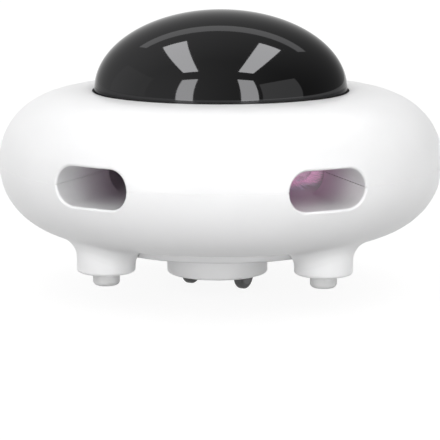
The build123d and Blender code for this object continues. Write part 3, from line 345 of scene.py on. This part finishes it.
def finish(name, colour, roughness, change=0.05, spread=0.06, patches=60.0, grain=2500.0,
           grain_depth=0.02, stretch=(1, 1, 1), metal=0.0, gloss=0.5, coat=0.0):
    """Make one finish: a colour that varies a little, over a fine grain."""
    material = bpy.data.materials.new(name)
    material.use_nodes = True
    tree = material.node_tree
    shader = tree.nodes["Principled BSDF"]
    shader.inputs["Metallic"].default_value = metal
    shader.inputs["Specular IOR Level"].default_value = gloss
    shader.inputs["Coat Weight"].default_value = coat
    cloud = noise(tree, patches, stretch=stretch)
    darker = mixed(colour, (0, 0, 0), change)
    factor = ramp(tree, cloud, 0.0, 1.0)
    tree.links.new(blend_colours(tree, factor, darker, colour), shader.inputs["Base Color"])
    tree.links.new(
        ramp(tree, cloud, roughness, roughness + spread), shader.inputs["Roughness"]
    )
    bump = tree.nodes.new("ShaderNodeBump")
    bump.inputs["Strength"].default_value = grain_depth
    bump.inputs["Distance"].default_value = grain_height
    tree.links.new(noise(tree, grain, stretch=stretch), bump.inputs["Height"])
    tree.links.new(bump.outputs["Normal"], shader.inputs["Normal"])
    finishes[name] = material
    return material


# %% [markdown]
# The shells are white ABS with a satin polish: bright, very even, with a soft highlight. The
# underside parts are given a touch greyer white than the shells. The feet are a soft milky
# rubber.

# %% Make the white finishes
white_shell = finish("white_shell", (0.9, 0.9, 0.905), 0.3, change=0.012, grain=3000.0,
                     grain_depth=0.03)
finish("white_base", (0.71, 0.71, 0.715), 0.36, change=0.02, grain=3000.0,
       grain_depth=0.05)
finish("pale_foot", (0.72, 0.72, 0.72), 0.5, change=0.04, patches=200.0,
       grain=4000.0, grain_depth=0.12)
rotor_plastic = finish("rotor_plastic", (0.3, 0.26, 0.31), 0.4, change=0.04, grain_depth=0.05)
finish("frame_plastic", (0.62, 0.62, 0.63), 0.45, change=0.04, grain_depth=0.1)
print("finishes:", len(finishes))

# %% [markdown]
# Inside the slots the white plastic is painted a mauve that deepens inwards: painted shade where
# little light reaches, with a painted reflection of the pastel feather's pink. A mask picks that
# zone: near the seam's height, and nearer the axis than the outer skin. It only reads the place on
# the shell, so it stays put from any side.

# %% Paint shade and the feather's pink reflection inside the slots
painted_slot_shade = (0.66, 0.58, 0.65)
slot_outer_radius = 0.88 * body_radius
slot_inner_radius = 0.62 * body_radius
slot_half_height = 0.088 * body_radius
slot_fade_height = 1.08 * slot_half_height

tree = white_shell.node_tree
shader = tree.nodes["Principled BSDF"]
plain = shader.inputs["Base Color"].links[0].from_socket
place = tree.nodes.new("ShaderNodeTexCoord")
level = tree.nodes.new("ShaderNodeVectorMath")
level.operation = "MULTIPLY"
level.inputs[1].default_value = (1, 1, 0)
tree.links.new(place.outputs["Object"], level.inputs[0])
distance = tree.nodes.new("ShaderNodeVectorMath")
distance.operation = "LENGTH"
tree.links.new(level.outputs[0], distance.inputs[0])
split = tree.nodes.new("ShaderNodeSeparateXYZ")
tree.links.new(place.outputs["Object"], split.inputs[0])
rise = tree.nodes.new("ShaderNodeMath")
rise.operation = "SUBTRACT"
rise.inputs[1].default_value = seam
tree.links.new(split.outputs["Z"], rise.inputs[0])
off_seam = tree.nodes.new("ShaderNodeMath")
off_seam.operation = "ABSOLUTE"
tree.links.new(rise.outputs[0], off_seam.inputs[0])
inwards = ramp(tree, distance.outputs["Value"], 1, 0, slot_inner_radius, slot_outer_radius)
near_seam = ramp(tree, off_seam.outputs[0], 1, 0, slot_half_height, slot_fade_height)
painted_shade_zone = tree.nodes.new("ShaderNodeMath")
painted_shade_zone.operation = "MULTIPLY"
tree.links.new(inwards, painted_shade_zone.inputs[0])
tree.links.new(near_seam, painted_shade_zone.inputs[1])
# Painted shade and a painted pink reflection: the plain white is blended towards mauve in the
# slots.
tree.links.new(
    blend_colours(tree, painted_shade_zone.outputs[0], plain, painted_slot_shade), shader.inputs["Base Color"]
)
print("slots: dulled inside a radius of", round(slot_outer_radius, 4), "metres")

# %% [markdown]
# The inside pieces show only when the toy is opened or seen through a slot, but each still gets
# the finish that such a piece has: bright brass pinions, milky acetal gears, turned steel pins, a
# pressed motor can, and the battery's shrink wrap.

# %% Make the inside finishes
finish("screw_steel", (0.56, 0.56, 0.57), 0.3, change=0.12, patches=900.0,
       grain=5000.0, grain_depth=0.15, metal=1.0)
finish("pin_steel", (0.62, 0.62, 0.63), 0.22, change=0.08, patches=700.0,
       grain=6000.0, grain_depth=0.06, stretch=(1, 1, 8), metal=1.0)
finish("motor_can", (0.55, 0.55, 0.55), 0.3, change=0.1, patches=300.0,
       grain=3000.0, grain_depth=0.1, metal=1.0)
finish("contact_nickel", (0.68, 0.67, 0.64), 0.18, change=0.06, patches=500.0,
       grain_depth=0.03, metal=1.0)
finish("pinion_brass", (0.72, 0.52, 0.22), 0.25, change=0.15, patches=900.0,
       grain=5000.0, grain_depth=0.1, metal=1.0)
finish("bush_bronze", (0.5, 0.33, 0.18), 0.45, change=0.25, patches=1500.0,
       grain=6000.0, grain_depth=0.3, metal=1.0)
finish("gear_plastic", (0.82, 0.8, 0.74), 0.38, change=0.05, patches=300.0,
       grain=4000.0, grain_depth=0.08)
finish("cell_wrap", (0.05, 0.19, 0.33), 0.22, change=0.1, patches=90.0,
       grain=1200.0, grain_depth=0.12, coat=0.3)
finish("tray_black", (0.03, 0.03, 0.03), 0.5, change=0.2, grain_depth=0.15)
finish("board_green", (0.02, 0.16, 0.06), 0.3, change=0.35, patches=700.0,
       grain=1800.0, grain_depth=0.2, coat=0.2)
finish("switch_black", (0.02, 0.02, 0.02), 0.45, change=0.2, grain_depth=0.1)
finish("button_grey", (0.34, 0.35, 0.37), 0.5, change=0.06, grain=3500.0,
       grain_depth=0.15)
finish("light_clear", (0.75, 0.8, 0.86), 0.15, change=0.05, grain_depth=0.02)
finish("black_gasket", (0.012, 0.012, 0.012), 0.8, change=0.3, patches=1200.0,
       grain=2500.0, grain_depth=0.4)
finish("stem_white", (0.85, 0.85, 0.87), 0.3, change=0.04, patches=600.0,
       grain_depth=0.04)
finish("tyre_rubber", (0.075, 0.075, 0.076), 0.55, change=0.25, patches=700.0,
       grain=3500.0, grain_depth=0.35)
finish("hub_plastic", (0.09, 0.09, 0.095), 0.4, change=0.12, grain_depth=0.1)
print("finishes:", len(finishes))

# %% [markdown]
# The dome is polished black plastic, a mirror for the softboxes. The reflections are what the eye
# sees, so its grain is kept far below them. Plain gloss would turn white at its rim, where bright
# panels are seen at a glancing angle. The metallic model reflects as little as plastic does when
# its colour is a twenty-fifth, and its edge tint keeps the rim dark as well.

# %% Make the polished black finish
rim_tint = 0.6
black_dome = finish("black_dome", (0.041, 0.041, 0.042), 0.04, change=0.03, spread=0.01,
                    patches=25.0, grain=900.0, grain_depth=0.002, metal=1.0)
black_dome.node_tree.nodes["Principled BSDF"].inputs["Specular Tint"].default_value = (
    rim_tint, rim_tint, rim_tint, 1
)

# %% [markdown]
# Each solid already has a slot for its finish, named in the frame's record, so the finishes are
# given out by those names. Only the plume's solid has no finish yet. It takes the rotor's, and
# softer pieces stand in its place further on.

# %% Give the finishes out
for entry in frame["record"]["subparts"]:
    solid = nodes[entry["node"]]
    material = finishes.get(entry["material_slot"], rotor_plastic)
    if not solid.material_slots:
        solid.data.materials.append(material)
    for material_slot in solid.material_slots:
        material_slot.material = material
print("finishes:", len(finishes))

# %% [markdown]
# The dome's solid is right in shape, but its facets would show in the reflections. A half profile
# of its wall, skin and inner face, is drawn as a row of points and spun once round the axis in
# finer steps, so the polished surface is smooth from any side.

# %% Spin the dome
dome_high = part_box("dome")[1]
dome_radius = dome_high.y
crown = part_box("upper_shell")[1].z
dome_rise = dome_high.z - crown
dome_wall = 0.002
dome_steps = 48
dome_turns = 160
dome_crease = radians(40)
weld_distance = 1e-6


def spun(name, profile, steps):
    """Spin a row of (radius, height) points once round the axis into a closed surface."""
    mesh = bpy.data.meshes.new(name)
    mesh.from_pydata(
        [(radius, 0, height) for radius, height in profile],
        [(index, index + 1) for index in range(len(profile) - 1)],
        [],
    )
    piece = bpy.data.objects.new(name, mesh)
    bpy.context.scene.collection.objects.link(piece)
    bpy.ops.object.select_all(action="DESELECT")
    piece.select_set(True)
    bpy.context.view_layer.objects.active = piece
    bpy.ops.object.mode_set(mode="EDIT")
    bpy.ops.mesh.select_all(action="SELECT")
    bpy.ops.mesh.spin(steps=steps, angle=2 * pi, center=(0, 0, 0), axis=(0, 0, 1))
    bpy.ops.mesh.select_all(action="SELECT")
    bpy.ops.mesh.remove_doubles(threshold=weld_distance)
    bpy.ops.mesh.normals_make_consistent(inside=False)
    bpy.ops.object.mode_set(mode="OBJECT")
    return piece


def quarter(inset):
    """Give the dome's quarter outline from its foot to its top, at an inset from its skin."""
    angles = [pi / 2 * step / dome_steps for step in range(dome_steps)]
    foot_to_top = [
        ((dome_radius - inset) * cos(angle), crown + (dome_rise - inset) * sin(angle))
        for angle in angles
    ]
    return [*foot_to_top, (0, crown + dome_rise - inset)]


gasket_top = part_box("dome_gasket")[1].z
inner_foot = (dome_radius - dome_wall, gasket_top)
outer_foot = (dome_radius, gasket_top)
dome_profile = [
    inner_foot, outer_foot, *quarter(0), *reversed(quarter(dome_wall)), inner_foot
]
polished_dome = spun("polished_dome", dome_profile, dome_turns)
bpy.ops.object.shade_smooth_by_angle(angle=dome_crease)
polished_dome.data.materials.append(black_dome)
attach(polished_dome, "root")
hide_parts("dome")
print("dome:", len(polished_dome.data.polygons), "faces")

# %% [markdown]
# The feather is a marabou plume: a short quill with hundreds of soft barbs that sweep outwards
# and forwards, and fray at the ends. Hair particles could make it, but meshed barbs also survive
# an export. One barb is modelled from a three-sided cone, whose long edges are cut into short
# lengths so that it can bend. Its copies are then laid along curves that fill the space the solid
# plume takes, so the feather is no longer, wider or higher than the solid.

# %% Model one barb of the plume
barb_cuts = 5
barb_tip = 0.25
half_barb = 0.5

bpy.ops.object.select_all(action="DESELECT")
bpy.ops.mesh.primitive_cone_add(vertices=3, radius1=1.0, radius2=barb_tip, depth=1.0)
barb = bpy.context.object
bpy.ops.object.mode_set(mode="EDIT")
bpy.ops.mesh.select_mode(type="EDGE")
bpy.ops.mesh.select_all(action="DESELECT")
bpy.ops.object.mode_set(mode="OBJECT")
for edge in barb.data.edges:
    first, second = (barb.data.vertices[index].co.z for index in edge.vertices)
    edge.select = abs(first - second) > half_barb
bpy.ops.object.mode_set(mode="EDIT")
bpy.ops.mesh.subdivide(number_cuts=barb_cuts)
bpy.ops.object.mode_set(mode="OBJECT")
barb_points = [(v.co.x, v.co.y, v.co.z + half_barb) for v in barb.data.vertices]
barb_faces = [tuple(face.vertices) for face in barb.data.polygons]
bpy.data.objects.remove(barb)
print("barb:", len(barb_points), "points,", len(barb_faces), "faces")

# %% [markdown]
# The plume's own directions come from its solid: along the stem, across it, and up. The outline
# is a short table of shares, narrow at the quill, widest past the middle, and blunt at the end.

# %% Measure the plume's space
plume_low, plume_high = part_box("feather_plume")
stem_low, stem_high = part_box("feather_stem")
heading = Vector((stem_low.x + stem_high.x, stem_low.y + stem_high.y, 0)).normalized()
sideways = Vector((-heading.y, heading.x, 0))
plume_points = [vertex.co for vertex in nodes["feather_plume"].data.vertices]
plume_start = min(point.dot(heading) for point in plume_points)
plume_end = max(point.dot(heading) for point in plume_points)
plume_half_width = max(point.dot(sideways) for point in plume_points)
plume_half_height = (plume_high.z - plume_low.z) / 2
plume_middle = (plume_high.z + plume_low.z) / 2
plume_outline = [
    (0.0, 0.16, 0.30), (0.30, 0.62, 0.78), (0.62, 1.0, 1.0), (0.86, 0.94, 1.0), (1.0, 0.78, 0.94)
]


def outline_at(share):
    """Give the plume's half width and half height at a share of its length."""
    for before, after in zip(plume_outline, plume_outline[1:]):
        if share <= after[0]:
            part = (share - before[0]) / (after[0] - before[0])
            return tuple(
                (a + (b - a) * part) * size
                for a, b, size in zip(
                    before[1:], after[1:], (plume_half_width, plume_half_height)
                )
            )
    return plume_outline[-1][1] * plume_half_width, plume_outline[-1][2] * plume_half_height


def in_plume(share, across_share, up_share):
    """Give the point at shares of the plume's length, half width and half height."""
    width, height = outline_at(share)
    return (
        heading * (plume_start + share * (plume_end - plume_start))
        + sideways * across_share * width
        + Vector((0, 0, plume_middle + up_share * height))
    )


print("plume:", round(plume_end - plume_start, 4), "long")

# %% [markdown]
# The dye runs from pale blue at the quill to pink, and to a greyer blue in the fringe that hangs
# below. Each point of the plume gets its colour as an attribute, from how far it lies from the
# quill and how low, and each barb is dyed a little lighter or darker than the next.

# %% Mix the dye
quill_blue = (0.62, 0.68, 0.80)
soft_pink = (0.90, 0.60, 0.79)
fringe_blue = (0.60, 0.62, 0.74)
quill_end = 0.1
quill_fade = 0.2
fringe_start = -0.6
fringe_fade = 0.3


def dye(distance, rise, shade):
    """Give the colour by the share of the way from the quill, and by the height."""
    colour = mixed(quill_blue, soft_pink, min(1, max(0, distance - quill_end) / quill_fade))
    fringe = min(1, max(0, fringe_start - rise) / fringe_fade)
    return (*(min(1, c * shade) for c in mixed(colour, fringe_blue, fringe)), 1)


print("dye at the quill:", dye(0, 0, 1))

# %% [markdown]
# A barb starts on the quill, some way behind its tip, and curves outwards to the plume's edge.
# How far along it ends, which way it turns and how far out it reaches are drawn at random, with
# more barbs near the end and the edge, where real down is fullest. The seed keeps the draw the
# same each time.

# %% Lay the barbs
barb_count = 1900
barb_thickness = 0.00017
barb_thinning = 0.8
least_reach = 0.12
reach_bias = 0.6
least_spread = 0.25
spread_bias = 0.5
shade_range = (0.82, 1.08)
root_back = (0.35, 0.55)
root_share = 0.9
bulge_range = (0.02, 0.16)
end_start = 0.8
fullness = 0.75
random.seed(5)


def squared(share):
    """Push a share of an ellipse outwards, so that the barbs fill a fuller, squarer shape."""
    return (abs(share) ** fullness) * (1 if share > 0 else -1)


points, faces, colours = [], [], []
for index in range(barb_count):
    reach = random.uniform(least_reach, 1.0) ** reach_bias
    turn = random.uniform(0, 2 * pi)
    spread = random.uniform(least_spread, 1.0) ** spread_bias
    shade = random.uniform(*shade_range)
    root = in_plume(max(0.0, reach - random.uniform(*root_back)) * root_share, 0, 0)
    rise = squared(sin(turn)) * spread
    end = in_plume(reach, squared(cos(turn)) * spread, rise)
    bulge = sideways * cos(turn) + Vector((0, 0, sin(turn)))
    bend = root.lerp(end, 0.5) + bulge * (end - root).length * random.uniform(*bulge_range)
    side = (end - root).cross(bulge).normalized()
    offset = len(points)
    for x, y, along in barb_points:
        centre = root.lerp(bend, along).lerp(bend.lerp(end, along), along)
        width = barb_thickness * (1 if along < 0.5 else barb_thinning)
        place = centre + side * x * width + bulge * y * width
        away = min(1.0, spread * along + max(0.0, reach - end_start) * along)
        points.append(place)
        colours.extend(dye(away, rise * along, shade))
    faces.extend(tuple(number + offset for number in face) for face in barb_faces)
plume_mesh = bpy.data.meshes.new("pastel_plume")
plume_mesh.from_pydata(points, [], faces)
tint = plume_mesh.color_attributes.new("barb_dye", "FLOAT_COLOR", "POINT")
tint.data.foreach_set("color", colours)
pastel_plume = bpy.data.objects.new("pastel_plume", plume_mesh)
bpy.context.scene.collection.objects.link(pastel_plume)
print("plume:", len(faces), "faces")

# %% [markdown]
# Between the barbs the down is too dense to see through. A soft core fills it: a sphere that is
# drawn out to the same outline, about two thirds as wide, with its surface roughened at random.

# %% Fill the plume with down
core_share = 0.66
core_centre = 0.5
core_reach = 0.42
core_dye = 0.5
core_shades = (0.72, 0.9)
core_roughness = (0.9, 1.0)

bpy.ops.object.select_all(action="DESELECT")
bpy.ops.mesh.primitive_uv_sphere_add(segments=48, ring_count=32, radius=1.0)
plume_core = bpy.context.object
plume_core.name = "plume_core"
core_tint = plume_core.data.color_attributes.new("barb_dye", "FLOAT_COLOR", "POINT")
colours = []
for vertex in plume_core.data.vertices:
    share = core_centre + core_reach * vertex.co.x
    across_share, up_share = vertex.co.y * core_share, vertex.co.z * core_share
    colours.extend(dye(core_dye, vertex.co.z, random.uniform(*core_shades)))
    vertex.co = in_plume(share, across_share * random.uniform(*core_roughness),
                         up_share * random.uniform(*core_roughness))
core_tint.data.foreach_set("color", colours)
bpy.ops.object.mode_set(mode="EDIT")
bpy.ops.mesh.select_all(action="SELECT")
bpy.ops.mesh.normals_make_consistent(inside=False)
bpy.ops.object.mode_set(mode="OBJECT")
bpy.ops.object.shade_smooth()
print("core:", len(plume_core.data.polygons), "faces")

# %% [markdown]
# Down scatters light, so its finish is rough, with a sheen at grazing angles. Light also passes
# on from barb to barb, deep into the plume, which a solid barb's surface can't do, and a faint
# glow in the dye's own colour stands for that: painted light, so the plume glows a little though
# it is no lamp. The dye comes from the attribute, and a fine noise varies it.

# %% Finish the plume
painted_glow = 0.16
down_sheen = 0.35
plume_pastel = finish("plume_pastel", soft_pink, 0.85, gloss=0.15)
tree = plume_pastel.node_tree
shader = tree.nodes["Principled BSDF"]
shader.inputs["Sheen Weight"].default_value = down_sheen
shader.inputs["Sheen Roughness"].default_value = 0.5
# Painted light: the plume glows faintly in its own dye colour.
shader.inputs["Emission Strength"].default_value = painted_glow
dyed = tree.nodes.new("ShaderNodeAttribute")
dyed.attribute_name = "barb_dye"
streaks = ramp(tree, noise(tree, 1800.0), 0.86, 1.06)
strength = tree.nodes.new("ShaderNodeVectorMath")
strength.operation = "SCALE"
tree.links.new(dyed.outputs["Color"], strength.inputs[0])
tree.links.new(streaks, strength.inputs["Scale"])
for socket in ("Base Color", "Emission Color"):
    tree.links.new(strength.outputs[0], shader.inputs[socket])
for piece in (pastel_plume, plume_core):
    piece.data.materials.append(plume_pastel)
    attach(piece, "rotor")
    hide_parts("feather_plume")
print("finishes:", len(finishes))
